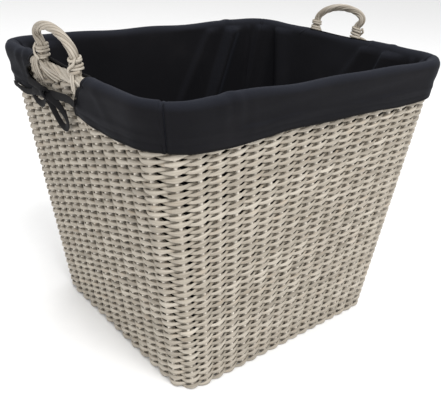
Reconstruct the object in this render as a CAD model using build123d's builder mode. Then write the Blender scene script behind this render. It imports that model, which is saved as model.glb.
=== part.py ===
from build123d import *
from math import atan2, copysign, cos, pi, sin
import os

# A wicker log basket: a tapered, round-cornered wall twined round upright stakes, a flat woven
# base, a rolled rim border, two rope-like handles and a loose cloth liner that is turned over
# the rim, cut out round the handles and tied under each of them.
#
# Millimetres. The origin is the middle of the base, on the floor. +Z is up, X runs along the
# long front and Y from front (-Y) to back (+Y). The handles stand on the short sides, at -X
# (left) and +X (right).

# ---- driving dimensions -------------------------------------------------------------------
height = 480.0  # floor to the top of the rim
base_length = 450.0  # outside of the weave at the floor, along X
base_width = 408.0  # the same along Y
rim_length = 604.0  # outside of the weave at the rim, along X
rim_width = 468.0
base_corner_radius = 42.0
rim_corner_radius = 60.0
wall_thickness = 12.0  # stake plus one strand each side
stake_diameter = 5.0
stake_gaps_long = 17  # gaps between stakes along a long side, corner to corner
stake_gaps_short = 13
stake_offset = 0.4  # corner to the first stake past it, in gaps
border_diameter = 17.0
border_drop = 1.0  # top of the border below the top of the rim
border_gap = 0.2  # weave to the underside of the border
stake_foot = 3.0  # floor to the lower end of a stake
stake_end_gap = 1.0  # upper end of a stake below the top of the weave
fit_gap = 0.1  # clearance of a rod in its channel

base_pole_diameter = 14.0
base_lift = 1.0  # floor to the underside of the base
base_pole_gap = 0.6  # wall weave to the pole
base_field_gap = 0.3  # pole to the base weave
base_stick_diameter = 7.0
base_stick_count = 9
base_weave_thickness = 10.0

handle_centre_left = 9.5  # Y of the handles' middles, a little behind the basket's
handle_centre_right = 24.0
handle_half_span = 51.0  # middle of the handle to the middle of a leg
handle_bow_diameter = 7.4
handle_bow_depth = 110.0  # how far the legs reach down inside the wall
handle_strand_diameter = 3.0
handle_strand_gap = 0.5  # bow to the strands round it
handle_strand_count = 9
handle_strand_turns = 1.75
handle_strand_steps = 24
handle_bound_height = 32.0  # the legs are straight up to here, measured from the border's middle
handle_strand_lift = 1.5  # border to the lower end of the strands
handle_belly = 8.0  # how far the left leg bellies out, seen from outside
handle_belly_height = 46.0
handle_belly_ease = 8.0  # the bend's pull below the top, above the belly
handle_top_across = -12.0  # the arch's top, measured from the handle's middle
handle_top_height = 63.0
handle_top_ease_left = 26.0  # how far the arch runs level on each side of its top
handle_top_ease_right = 34.0
handle_slope_ease = 16.0  # the sloping leg's shoulder below the top
binding_cane_diameter = 4.0
binding_pitch = 4.4
binding_turns = 4
binding_gap = 0.5  # strands to the cane bound round them
binding_lift = 1.0  # lower end of the strands to the binding

cloth_thickness = 2.0
liner_inset = 18.0  # outside of the weave to the outside of the hanging cloth
liner_floor = 17.0  # underside of the liner's base panel
cuff_hem = 420.0  # height of the cuff's lower edge
cuff_gap = 0.6  # border to the inside of the cuff
cutout_front = -64.0  # Y of the two sides of the cuff's cut-out at a handle
cutout_rear = 100.0
piping_width = 2.5
piping_proud = 1.0  # how far the piping stands out from the cloth
tie_width = 10.0
tie_thickness = 1.2
tie_gap = 0.2  # cuff to a tie
tie_height = 437.0  # middle of the tie
tie_clearance = 314.0  # X of the ties' inner face: clear of the handle as the liner is lifted out
tie_setback = 6.0  # cut edge to the end of the sewn length
tie_sewn_length = 12.0
tie_slant_length = 16.0
knot_y = 54.0
knot_size = 14.0
knot_depth = 6.0
# The bow's loops: middle measured from the knot, half length, half breadth, turn in degrees
# and ribbon width.
front_loop = ((-24.0, -25.0), 32.0, 17.0, 45.0, 7.0)
rear_loop = ((22.0, -10.0), 25.0, 9.0, -24.0, 6.0)

# ---- worked out from them -------------------------------------------------------------------
border_radius = border_diameter / 2
border_height = height - border_radius - border_drop  # middle of the border
weave_top = border_height - border_radius - border_gap
wall_slope = (rim_length - base_length) / 2 / height
wall_lean = atan2(wall_slope, 1)
fold_height = height  # underside of the cloth where it turns over the border
handle_rope_radius = handle_bow_diameter / 2 + handle_strand_gap + handle_strand_diameter

STANDING = (Align.CENTER, Align.CENTER, Align.MIN)

os.makedirs("parts", exist_ok=True)


def save(piece, name):
    """Labels a finished piece and writes it."""
    piece.label = name
    export_step(piece, f"parts/{name}.step")


def at_height(low, high, z):
    """A size that changes evenly from the floor to the rim."""
    return low + (high - low) * z / height


def half_length(z):
    return at_height(base_length, rim_length, z) / 2


def half_width(z):
    return at_height(base_width, rim_width, z) / 2


def corner_radius(z):
    return at_height(base_corner_radius, rim_corner_radius, z)


def wall_outline(z, inset, mode=Mode.ADD):
    """The wall's rounded rectangle at height z, moved in by inset (out if it is negative)."""
    RectangleRounded(
        2 * (half_length(z) - inset),
        2 * (half_width(z) - inset),
        corner_radius(z) - inset,
        mode=mode,
    )


def side_point(share, half_across, half_out, radius):
    """A point of one side of a rounded rectangle: share runs from -1 to 1 between corner middles."""
    straight = half_across - radius
    travel = share * (straight + radius * pi / 4)
    turn = max(0.0, abs(travel) - straight) / radius
    across = min(abs(travel), straight) + radius * sin(turn)
    return copysign(across, travel), half_out - radius * (1 - cos(turn))


def stake_points(z):
    """The middle of every stake at height z, counter-clockwise from the front left corner."""
    inset = wall_thickness / 2
    long_half = half_length(z) - inset
    short_half = half_width(z) - inset
    radius = corner_radius(z) - inset
    long_side = [
        side_point(2 * (i + stake_offset) / stake_gaps_long - 1, long_half, short_half, radius)
        for i in range(stake_gaps_long)
    ]
    short_side = [
        side_point(2 * (i + stake_offset) / stake_gaps_short - 1, short_half, long_half, radius)
        for i in range(stake_gaps_short)
    ]
    front = [Vector(across, -out, z) for across, out in long_side]
    right = [Vector(out, across, z) for across, out in short_side]
    back = [Vector(-across, out, z) for across, out in long_side]
    left = [Vector(-out, -across, z) for across, out in short_side]
    return front + right + back + left


def stake_rods(low, high, radius, mode=Mode.ADD):
    """A round rod along every stake's line from height low to height high."""
    for foot, top in zip(stake_points(0), stake_points(weave_top)):
        rise = (top - foot) / weave_top
        with Locations(Plane(origin=foot + rise * low, z_dir=rise)):
            Cylinder(radius, rise.length * (high - low), align=STANDING, mode=mode)


def handle_plane(side):
    """The plane of a handle, leaning out with the wall; side is -1 left, +1 right.
    Local X runs to the right as seen from outside, local Y up along the wall."""
    wall_middle = half_length(border_height) - wall_thickness / 2
    centre_y = handle_centre_left if side < 0 else handle_centre_right
    return Plane(
        origin=(side * wall_middle, centre_y, border_height),
        x_dir=(0, side, 0),
        z_dir=(side * cos(wall_lean), 0, -sin(wall_lean)),
    )


def wall_path(z, inset):
    """The same rounded rectangle as a closed line."""
    x = half_length(z) - inset
    y = half_width(z) - inset
    FilletPolyline((-x, -y), (x, -y), (x, y), (-x, y), radius=corner_radius(z) - inset, close=True)


# ---- base -------------------------------------------------------------------------------------
base_rod_height = base_pole_diameter / 2 + base_lift
base_pole_inset = wall_thickness + base_pole_gap + base_pole_diameter / 2
base_weave_inset = base_pole_inset + base_pole_diameter / 2 + base_field_gap
base_field_length = 2 * (half_length(base_rod_height) - base_weave_inset)
base_field_width = 2 * (half_width(base_rod_height) - base_weave_inset)
base_stick_spacing = base_field_length / base_stick_count


def stick_circles(radius):
    """The outline of every base stick, in the sketch plane across them."""
    with Locations((0, base_rod_height)):
        with GridLocations(base_stick_spacing, 0, base_stick_count, 1):
            Circle(radius)


with BuildPart() as base_frame:
    with BuildLine(Plane.XY.offset(base_rod_height)) as pole_path:
        wall_path(base_rod_height, base_pole_inset)
    pole_wire = pole_path.wires()[0]
    with BuildSketch(Plane(origin=pole_wire @ 0, z_dir=pole_wire % 0)):
        Circle(base_pole_diameter / 2)
    sweep(path=pole_wire)
save(base_frame.part, "base_frame")

with BuildPart() as base_sticks:
    with BuildSketch(Plane.XZ.offset(-base_field_width / 2)):
        stick_circles(base_stick_diameter / 2)
    extrude(amount=base_field_width)
save(base_sticks.part, "base_sticks")

with BuildPart() as base_weave:
    with BuildSketch(Plane.XY.offset(base_rod_height - base_weave_thickness / 2)):
        wall_outline(base_rod_height, base_weave_inset)
    extrude(amount=base_weave_thickness)
    with BuildSketch(Plane.XZ.offset(-base_field_width / 2)):
        stick_circles(base_stick_diameter / 2 + fit_gap)
    extrude(amount=base_field_width, mode=Mode.SUBTRACT)
save(base_weave.part, "base_weave")

# ---- wall -------------------------------------------------------------------------------------
def handle_channels():
    """Cuts the channels that the handles' legs stand in."""
    for side in (-1, 1):
        plane = handle_plane(side)
        for leg in (-1, 1):
            foot = plane.from_local_coords((leg * handle_half_span, -handle_bow_depth, 0))
            with Locations(Plane(origin=foot, z_dir=plane.y_dir)):
                Cylinder(
                    handle_bow_diameter / 2 + fit_gap,
                    handle_bow_depth + handle_bound_height,
                    align=STANDING,
                    mode=Mode.SUBTRACT,
                )


with BuildPart() as wall_weave:
    with BuildSketch(Plane.XY):
        wall_outline(0, 0)
    with BuildSketch(Plane.XY.offset(weave_top)):
        wall_outline(weave_top, 0)
    loft(ruled=True)
    with BuildSketch(Plane.XY):
        wall_outline(0, wall_thickness)
    with BuildSketch(Plane.XY.offset(weave_top)):
        wall_outline(weave_top, wall_thickness)
    loft(ruled=True, mode=Mode.SUBTRACT)
    stake_rods(-wall_thickness, height, stake_diameter / 2 + fit_gap, mode=Mode.SUBTRACT)
    handle_channels()
save(wall_weave.part, "wall_weave")

with BuildPart() as side_stakes:
    stake_rods(stake_foot, weave_top - stake_end_gap, stake_diameter / 2)
save(side_stakes.part, "side_stakes")

with BuildPart() as rim_border:
    with BuildLine(Plane.XY.offset(border_height)) as border_path:
        wall_path(border_height, wall_thickness / 2)
    border_wire = border_path.wires()[0]
    with BuildSketch(Plane(origin=border_wire @ 0, z_dir=border_wire % 0)):
        Circle(border_radius)
    sweep(path=border_wire)
    handle_channels()
save(rim_border.part, "rim_border")

# ---- handles ------------------------------------------------------------------------------------
strand_start = border_radius + handle_strand_lift
strand_ring_radius = handle_rope_radius - handle_strand_diameter / 2
coil_radius = handle_rope_radius + binding_cane_diameter / 2 + binding_gap
coil_start = strand_start + binding_lift + binding_cane_diameter / 2


def arch_line(plane, foot):
    """The handle's middle line, with straight legs that start at local height foot. Seen from
    outside, the left leg bellies out and the right one slopes in to the top."""
    left = -handle_half_span
    right = handle_half_span
    bound = handle_bound_height
    belly_x = left - handle_belly
    belly_y = handle_belly_height
    top_x = handle_top_across
    top_y = handle_top_height
    half_rise = (belly_y - bound) / 2
    belly = (belly_x, belly_y)
    top = (top_x, top_y)
    shoulder = (right, top_y - handle_slope_ease)
    with BuildLine(plane) as line:
        Line((left, foot), (left, bound))
        Bezier((left, bound), (left, bound + half_rise), (belly_x, belly_y - half_rise), belly)
        Bezier(belly, (belly_x, top_y - handle_belly_ease), (top_x - handle_top_ease_left, top_y), top)
        Bezier(top, (top_x + handle_top_ease_right, top_y), shoulder, (right, bound))
        Line((right, bound), (right, foot))
    return line.wires()[0]


def strand_line(plane, centre, start_angle):
    """One strand's path, winding round the handle's middle line."""
    points = []
    for i in range(handle_strand_steps + 1):
        share = i / handle_strand_steps
        along = centre % share
        out = plane.z_dir
        side = out.cross(along).normalized()
        angle = start_angle + 2 * pi * handle_strand_turns * share
        spoke = side * cos(angle) + out * sin(angle)
        points.append(centre @ share + spoke * strand_ring_radius)
    return Spline(*points)


def build_handle(name, side):
    """The bow, its twisted strands and the two cane bindings of one handle."""
    plane = handle_plane(side)

    with BuildPart() as bow:
        bow_path = arch_line(plane, -handle_bow_depth)
        with BuildSketch(Plane(origin=bow_path @ 0, z_dir=bow_path % 0)):
            Circle(handle_bow_diameter / 2)
        sweep(path=bow_path)
    save(bow.part, f"{name}_handle_bow")

    centre = arch_line(plane, strand_start)
    strands = []
    for k in range(handle_strand_count):
        path = strand_line(plane, centre, 2 * pi * k / handle_strand_count)
        with BuildPart() as strand:
            with BuildSketch(Plane(origin=path @ 0, z_dir=path % 0)):
                Circle(handle_strand_diameter / 2)
            sweep(path=path, is_frenet=True)
        strands.append(strand.part.solid())
    save(Compound(children=strands), f"{name}_handle_strands")

    for leg, place in ((-1, "a"), (1, "b")):
        foot = plane.from_local_coords((leg * handle_half_span, coil_start, 0))
        with BuildPart() as binding:
            coil = Helix(
                pitch=binding_pitch,
                height=binding_pitch * binding_turns,
                radius=coil_radius,
                center=foot,
                direction=plane.y_dir,
            )
            with BuildSketch(Plane(origin=coil @ 0, z_dir=coil % 0)):
                Circle(binding_cane_diameter / 2)
            sweep(path=coil, is_frenet=True)
        save(binding.part, f"{name}_handle_binding_{place}")


build_handle("left", -1)
build_handle("right", 1)

# ---- liner --------------------------------------------------------------------------------------
# The cloth hangs inside the wall, turns over the border and falls straight down outside it, so
# that the whole liner can be drawn up past the border and the handles.
cuff_inset = wall_thickness / 2 - border_radius - cuff_gap  # weave to the inside of the cuff
panel_foot = liner_floor + cloth_thickness
fold_top = fold_height + cloth_thickness
sack_top_x = half_length(fold_height) - liner_inset
cuff_outer_x = half_length(border_height) - cuff_inset + cloth_thickness
cutout_middle = (cutout_front + cutout_rear) / 2

with BuildPart() as liner_shell:
    with BuildSketch(Plane.XY.offset(panel_foot)):
        wall_outline(panel_foot, liner_inset)
    with BuildSketch(Plane.XY.offset(fold_height)):
        wall_outline(fold_height, liner_inset)
    loft(ruled=True)
    with BuildSketch(Plane.XY.offset(panel_foot)):
        wall_outline(panel_foot, liner_inset + cloth_thickness)
    with BuildSketch(Plane.XY.offset(fold_height)):
        wall_outline(fold_height, liner_inset + cloth_thickness)
    loft(ruled=True, mode=Mode.SUBTRACT)
    with BuildSketch(Plane.XY.offset(cuff_hem)):
        wall_outline(border_height, cuff_inset - cloth_thickness)
        wall_outline(border_height, cuff_inset, mode=Mode.SUBTRACT)
    extrude(amount=fold_top - cuff_hem)
    with BuildSketch(Plane.XY.offset(fold_height)):
        wall_outline(border_height, cuff_inset - cloth_thickness)
        wall_outline(fold_height, liner_inset + cloth_thickness, mode=Mode.SUBTRACT)
    extrude(amount=cloth_thickness)
    for side in (-1, 1):
        with Locations((side * sack_top_x, cutout_middle, cuff_hem)):
            Box(
                2 * (cuff_outer_x - sack_top_x),
                cutout_rear - cutout_front,
                height,
                align=(Align.MIN if side > 0 else Align.MAX, Align.CENTER, Align.CENTER),
                mode=Mode.SUBTRACT,
            )


def corner_seam(side_x, side_y, towards):
    """The upright plane of a corner seam, facing the panel that lies towards the given direction."""
    ends = []
    for z in (panel_foot, fold_height):
        radius = corner_radius(z) - liner_inset
        drawn_in = liner_inset + radius * (1 - cos(pi / 4))
        ends.append(Vector(side_x * (half_length(z) - drawn_in), side_y * (half_width(z) - drawn_in), z))
    normal = Vector(side_x, side_y, 0).cross(ends[1] - ends[0])
    if normal.dot(Vector(towards)) < 0:
        normal = -normal
    return Plane(origin=ends[0], z_dir=normal)


# name, the two corners a panel runs between and the direction it faces
panels = [
    ("front", ((-1, -1), (1, -1)), (0, -1, 0)),
    ("rear", ((-1, 1), (1, 1)), (0, 1, 0)),
    ("left", ((-1, -1), (-1, 1)), (-1, 0, 0)),
    ("right", ((1, -1), (1, 1)), (1, 0, 0)),
]
for name, corners, towards in panels:
    with BuildPart() as liner_panel:
        add(liner_shell.part)
        for side_x, side_y in corners:
            split(bisect_by=corner_seam(side_x, side_y, towards), keep=Keep.TOP)
    save(liner_panel.part, f"liner_{name}_panel")

with BuildPart() as liner_base:
    with BuildSketch(Plane.XY.offset(liner_floor)):
        wall_outline(panel_foot, liner_inset)
    extrude(amount=cloth_thickness)
save(liner_base.part, "liner_base_panel")


def block(low, high):
    """A box between two corners."""
    low, high = Vector(*low), Vector(*high)
    with Locations((low + high) / 2):
        Box(*(high - low))


def save_pair(part, name):
    """Writes a piece of the right side and its mirror image on the left."""
    save(part, f"right_{name}")
    save(mirror(part, about=Plane.YZ), f"left_{name}")


# The piping runs up one cut edge of the cuff, along the sack's top edge and down the other cut edge.
piping_outer_x = cuff_outer_x + piping_proud
piping_inner_x = sack_top_x - piping_width
piping_top = fold_top + piping_proud
with BuildPart() as cutout_piping:
    for edge, inward in ((cutout_front, 1), (cutout_rear, -1)):
        near, far = sorted((edge, edge + inward * piping_width))
        block((cuff_outer_x - cloth_thickness, near, cuff_hem), (piping_outer_x, far, piping_top))
        block((sack_top_x, near, fold_height), (piping_outer_x, far, piping_top))
        block((piping_inner_x, near, fold_top), (piping_outer_x, far, piping_top))
    block((piping_inner_x, cutout_front, fold_top), (sack_top_x, cutout_rear, piping_top))
save_pair(cutout_piping.part, "cutout_piping")

# Each tie is sewn to the cuff beside the cut-out and crosses to the knot outside the handle. Its
# bow loop lies flat against the straps.
tie_sewn_x = cuff_outer_x + tie_gap + tie_thickness / 2
tie_free_x = tie_clearance + tie_thickness / 2
loop_plane = Plane(origin=(tie_clearance + tie_thickness, 0, 0), x_dir=(0, 1, 0), z_dir=(1, 0, 0))

# name, cut edge, direction away from the knot, bow loop
ties = [
    ("front_tie", cutout_front, -1, front_loop),
    ("rear_tie", cutout_rear, 1, rear_loop),
]
for name, edge, away, (offset, half_long, half_broad, turn, ribbon) in ties:
    sewn_y = edge + away * tie_setback
    with BuildPart() as tie:
        with BuildSketch(Plane.XY.offset(tie_height - tie_width / 2)):
            with BuildLine():
                Polyline(
                    (tie_sewn_x, sewn_y + away * tie_sewn_length),
                    (tie_sewn_x, sewn_y),
                    (tie_free_x, sewn_y - away * tie_slant_length),
                    (tie_free_x, knot_y + away * knot_size / 2),
                )
            trace(line_width=tie_thickness)
        extrude(amount=tie_width)
        with BuildSketch(loop_plane):
            with Locations(Location((knot_y + offset[0], tie_height + offset[1]), turn)):
                Ellipse(half_long, half_broad)
                Ellipse(half_long - ribbon, half_broad - ribbon, mode=Mode.SUBTRACT)
        extrude(amount=tie_thickness)
        with Locations((tie_clearance, knot_y, tie_height)):
            Box(4 * knot_depth, knot_size, knot_size, mode=Mode.SUBTRACT)
    save_pair(tie.part, name)

with BuildPart() as tie_knot:
    with Locations((tie_clearance + knot_depth / 2, knot_y, tie_height)):
        Box(knot_depth, knot_size, knot_size)
    fillet(tie_knot.edges(), knot_depth / 3)
save_pair(tie_knot.part, "tie_knot")
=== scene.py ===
"""Looks of the wicker log basket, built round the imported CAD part.

Metres. The wall is followed with three coordinates: u counts stakes anticlockwise from the front
left corner (seen from above), z is the height, and out is the distance outwards from the ring of
stakes. Rods of cane, the cloth and the ribbons are all laid out in them.
"""

import bmesh
import bpy
import numpy as np
from mathutils import Matrix, Vector


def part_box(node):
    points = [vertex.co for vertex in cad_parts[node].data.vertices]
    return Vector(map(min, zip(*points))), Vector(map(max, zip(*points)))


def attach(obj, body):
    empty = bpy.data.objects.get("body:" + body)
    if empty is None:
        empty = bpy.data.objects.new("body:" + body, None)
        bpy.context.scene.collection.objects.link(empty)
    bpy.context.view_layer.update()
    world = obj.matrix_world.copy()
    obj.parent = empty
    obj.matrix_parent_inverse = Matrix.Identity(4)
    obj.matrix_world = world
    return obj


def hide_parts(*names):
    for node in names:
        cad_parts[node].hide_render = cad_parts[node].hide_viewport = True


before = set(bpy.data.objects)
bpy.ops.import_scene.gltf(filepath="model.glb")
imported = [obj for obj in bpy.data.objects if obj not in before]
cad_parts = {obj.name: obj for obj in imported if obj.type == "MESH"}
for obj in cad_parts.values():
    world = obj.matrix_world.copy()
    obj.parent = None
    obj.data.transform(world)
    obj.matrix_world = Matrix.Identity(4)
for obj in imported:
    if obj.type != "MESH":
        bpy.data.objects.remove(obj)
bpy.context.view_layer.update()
chance = np.random.default_rng(12)

# ---- the wall, read from the frame ---------------------------------------------------------------
STAKES_LONG = 17
STAKES_SHORT = 13
STAKE_COUNT = 2 * (STAKES_LONG + STAKES_SHORT)
STAKE_OFFSET = 0.4  # corner to the first stake past it, in gaps
WALL_THICKNESS = 0.012
# start, stakes along the side, direction along the side, direction out of the basket
WALL_SIDES = (
    (0, STAKES_LONG, (1, 0), (0, -1)),
    (STAKES_LONG, STAKES_SHORT, (0, 1), (1, 0)),
    (STAKES_LONG + STAKES_SHORT, STAKES_LONG, (-1, 0), (0, 1)),
    (2 * STAKES_LONG + STAKES_SHORT, STAKES_SHORT, (0, -1), (-1, 0)),
)


def node_points(node):
    """The corners of a CAD node's mesh, one row each."""
    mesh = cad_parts[node].data
    points = np.empty(3 * len(mesh.vertices), np.float32)
    mesh.vertices.foreach_get("co", points)
    return points.reshape(-1, 3).astype(float)


def outline_at(points, z):
    """Half length, half width and corner radius of the wall's outside at an end of its mesh."""
    ring = points[abs(points[:, 2] - z) < 1e-4]
    half_length, half_width = ring[:, :2].max(axis=0)
    front = ring[ring[:, 1] > half_width - 1e-5]
    return np.array([half_length, half_width, half_length - front[:, 0].max()])


wall_points = node_points("wall_weave")
weave_top = wall_points[:, 2].max()
foot_outline = outline_at(wall_points, 0.0) - WALL_THICKNESS / 2
top_outline = outline_at(wall_points, weave_top) - WALL_THICKNESS / 2
border_low, border_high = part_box("rim_border")
border_z = (border_low.z + border_high.z) / 2
border_radius = (border_high.z - border_low.z) / 2


def wall_point(u, z, out=0.0):
    """Points on the wall."""
    u, z, out = np.broadcast_arrays(np.asarray(u, float) % STAKE_COUNT, z, out)
    share = (z / weave_top)[..., None]
    outline = foot_outline + (top_outline - foot_outline) * share
    half_length, half_width, radius = np.moveaxis(outline, -1, 0)
    points = np.empty(u.shape + (3,))
    points[..., 2] = z
    for start, count, across_dir, out_dir in WALL_SIDES:
        half_across = half_length if across_dir[0] else half_width
        half_out = half_width if across_dir[0] else half_length
        straight = half_across - radius
        travel = (2 * (u - start) / count - 1) * (straight + radius * np.pi / 4)
        turn = np.maximum(abs(travel) - straight, 0) / radius
        reach = np.minimum(abs(travel), straight) + (radius + out) * np.sin(turn)
        across = np.sign(travel) * reach
        outward = half_out + out - (radius + out) * (1 - np.cos(turn))
        place = across[..., None] * np.array(across_dir) + outward[..., None] * np.array(out_dir)
        here = (u >= start) & (u < start + count)
        points[here, :2] = place[here]
    return points


def wall_normal(u, z):
    """The level direction out of the wall."""
    return wall_point(u, z, 1.0) - wall_point(u, z, 0.0)


def side_u(side, y, z):
    """The stake coordinate of a place y on the left (-1) or right (+1) side's straight part."""
    start, count = (WALL_SIDES[1] if side > 0 else WALL_SIDES[3])[:2]
    half_width, radius = (foot_outline + (top_outline - foot_outline) * z / weave_top)[1:]
    return start + count / 2 * (1 + side * y / (half_width - radius + radius * np.pi / 4))


# ---- mesh helpers --------------------------------------------------------------------------------
def unit(vectors):
    return vectors / np.linalg.norm(vectors, axis=-1, keepdims=True)


def smooth_step(x, low, high):
    """0 below low, 1 above high and an even curve between."""
    t = np.clip((np.asarray(x, float) - low) / (high - low), 0, 1)
    return t * t * (3 - 2 * t)


def bump_at(x, middle, width):
    """A smooth bump of height 1."""
    return np.exp(-(((np.asarray(x, float) - middle) / width) ** 2))


def wander(x, lengths, size, seed):
    """A smooth random curve: waves of the given lengths, each size high."""
    dice = np.random.default_rng(seed)
    total = np.zeros_like(np.asarray(x, float))
    for length in lengths:
        phase = 2 * np.pi * x / (length * dice.uniform(0.85, 1.15))
        total = total + size * np.sin(phase + dice.uniform(0, 6.3))
    return total / len(lengths) ** 0.5


def new_object(name, points, quads, body, material, **attributes):
    """A smooth-shaded mesh object that rides on a CAD body."""
    mesh = bpy.data.meshes.new(name)
    mesh.vertices.add(len(points))
    mesh.vertices.foreach_set("co", np.asarray(points, np.float32).ravel())
    mesh.loops.add(4 * len(quads))
    mesh.loops.foreach_set("vertex_index", np.asarray(quads, np.int32).ravel())
    mesh.polygons.add(len(quads))
    mesh.polygons.foreach_set("loop_start", np.arange(0, 4 * len(quads), 4, dtype=np.int32))
    mesh.polygons.foreach_set("use_smooth", np.ones(len(quads), bool))
    for key, values in attributes.items():
        values = np.asarray(values, np.float32)
        kind = "FLOAT_VECTOR" if values.ndim == 2 else "FLOAT"
        field = "vector" if values.ndim == 2 else "value"
        mesh.attributes.new(key, kind, "POINT").data.foreach_set(field, values.ravel())
    mesh.update(calc_edges=True)
    mesh.validate()
    mesh.materials.append(material)
    obj = bpy.data.objects.new(name, mesh)
    bpy.context.scene.collection.objects.link(obj)
    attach(obj, body)
    return obj


class Rods:
    """Collects round and flat rods into one mesh. Each keeps its own tone, and its own grain
    coordinates: along the rod, then across it both ways."""

    def __init__(self, sides=8):
        self.sides = sides
        self.points, self.grain, self.tone, self.quads = [], [], [], []
        self.count = 0

    def add(self, path, up, half_up, half_across, tone=0.0, closed=False):
        """A rod along path. Its section is half_up tall along up and half_across wide."""
        path = np.asarray(path, float)
        if closed:
            tangent = np.roll(path, -1, axis=0) - np.roll(path, 1, axis=0)
            tangent[0] = tangent[-1] = path[1] - path[-2]
        else:
            tangent = np.gradient(path, axis=0)
        tangent = unit(tangent)
        up = np.broadcast_to(up, path.shape)
        up = unit(up - tangent * (up * tangent).sum(axis=1, keepdims=True))
        across = np.cross(tangent, up)
        rings = len(path)
        half_up = np.broadcast_to(half_up, rings)[:, None]
        half_across = np.broadcast_to(half_across, rings)[:, None]
        angle = 2 * np.pi * np.arange(self.sides) / self.sides
        high, wide = half_up * np.cos(angle), half_across * np.sin(angle)
        points = path[:, None] + up[:, None] * high[..., None] + across[:, None] * wide[..., None]
        steps = np.linalg.norm(np.diff(path, axis=0), axis=1)
        along = np.concatenate([[0], np.cumsum(steps)]) + chance.uniform(0, 50)
        grain = np.stack([np.broadcast_to(along[:, None], high.shape), high, wide], axis=-1)
        ring, side = np.meshgrid(np.arange(rings - 1), np.arange(self.sides), indexing="ij")
        after = (side + 1) % self.sides
        first = self.count + ring * self.sides
        above = first + self.sides
        skin = np.stack([above + side, above + after, first + after, first + side], axis=-1)
        self.quads.append(skin.reshape(-1, 4))
        if not closed:
            last = self.sides - 1
            strips = range(self.sides // 2 - 1)
            cap = np.array([(i, i + 1, last - 1 - i, last - i) for i in strips])
            self.quads.append(self.count + cap)
            self.quads.append(self.count + (rings - 1) * self.sides + cap[:, ::-1])
        self.points.append(points.reshape(-1, 3))
        self.grain.append(grain.reshape(-1, 3))
        self.tone.append(np.repeat(np.broadcast_to(tone, rings), self.sides))
        self.count += rings * self.sides

    def build(self, name, body, material, slot, *replaced):
        """Makes the mesh. It takes the place of the CAD nodes replaced."""
        points, quads = np.concatenate(self.points), np.concatenate(self.quads)
        grain, tone = np.concatenate(self.grain), np.concatenate(self.tone)
        piece = new_object(name, points, quads, body, material, grain=grain, tone=tone)
        if replaced:
            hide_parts(*replaced)


def patchy_tone(samples, per_patch, size, dice):
    """A rod's tone along its length: steps of random length and depth, softened where they meet."""
    patches = int(samples / per_patch) + 2
    places = np.sort(dice.uniform(0, samples, patches))
    levels = dice.normal(0, size, patches + 1)
    steps = levels[np.searchsorted(places, np.arange(samples))]
    window = np.hanning(max(3, int(per_patch / 3)))
    return np.convolve(steps, window / window.sum(), mode="same")


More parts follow.
